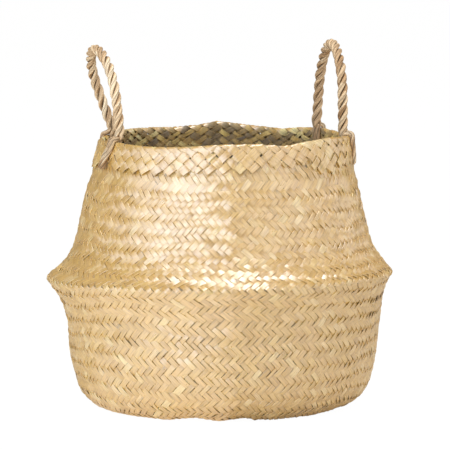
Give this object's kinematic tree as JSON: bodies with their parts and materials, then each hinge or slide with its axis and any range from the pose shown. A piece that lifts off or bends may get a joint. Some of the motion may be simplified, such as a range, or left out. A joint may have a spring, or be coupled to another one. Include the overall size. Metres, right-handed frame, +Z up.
{
  "type": "belly basket",
  "caption": "Round plaited seagrass basket with a pushed-out belly fold, a turned-down hem and twisted rope handles; its upper half pushes down inside the lower half.",
  "frame": {"origin": "centre of the round bottom's underside, on the surface that it stands on", "axes": "+Z up, -Y the front as pictured, the handles near -X and +X"},
  "size_m": [0.35, 0.35, 0.3714],
  "materials": {
    "gold_seagrass": "satin",
    "natural_seagrass": "matte",
    "seagrass_rope": "matte"
  },
  "bodies": {
    "basket": {"base_mat": "natural_seagrass", "lower_wall": "gold_seagrass", "belly_fold": "gold_seagrass", "upper_wall": "gold_seagrass"},
    "rim": {"rim_band": "natural_seagrass", "rim_hem": "gold_seagrass", "left_back_outer_tail_1": "seagrass_rope", "left_back_outer_tail_2": "seagrass_rope", "left_back_inner_tail_1": "seagrass_rope", "left_front_outer_tail_1": "seagrass_rope", "left_front_outer_tail_2": "seagrass_rope", "left_front_inner_tail_1": "seagrass_rope", "right_back_outer_tail_1": "seagrass_rope", "right_back_inner_tail_1": "seagrass_rope", "right_back_inner_tail_2": "seagrass_rope", "right_front_outer_tail_1": "seagrass_rope", "right_front_inner_tail_1": "seagrass_rope", "right_front_inner_tail_2": "seagrass_rope"},
    "left_handle": {"left_handle_strand_1": "seagrass_rope", "left_handle_strand_2": "seagrass_rope", "left_handle_strand_3": "seagrass_rope"},
    "right_handle": {"right_handle_strand_1": "seagrass_rope", "right_handle_strand_2": "seagrass_rope", "right_handle_strand_3": "seagrass_rope"}
  },
  "joints": [
    {"name": "belly_fold_slide", "type": "slide", "parent": "basket", "child": "rim", "axis": [0, 0, 1], "range_m": [-0.2, 0], "deforming": ["upper_wall"]},
    {"name": "left_handle_swing", "type": "hinge", "parent": "rim", "child": "left_handle", "pos_m": [-0.10775, -0.01064, 0.28147], "axis": [-0.0958, 0.9954, 0], "range_deg": [-6.5, 108]},
    {"name": "right_handle_swing", "type": "hinge", "parent": "rim", "child": "right_handle", "pos_m": [0.11011, 0.02775, 0.28147], "axis": [0.2504, -0.9681, 0], "range_deg": [-20, 95]}
  ]
}
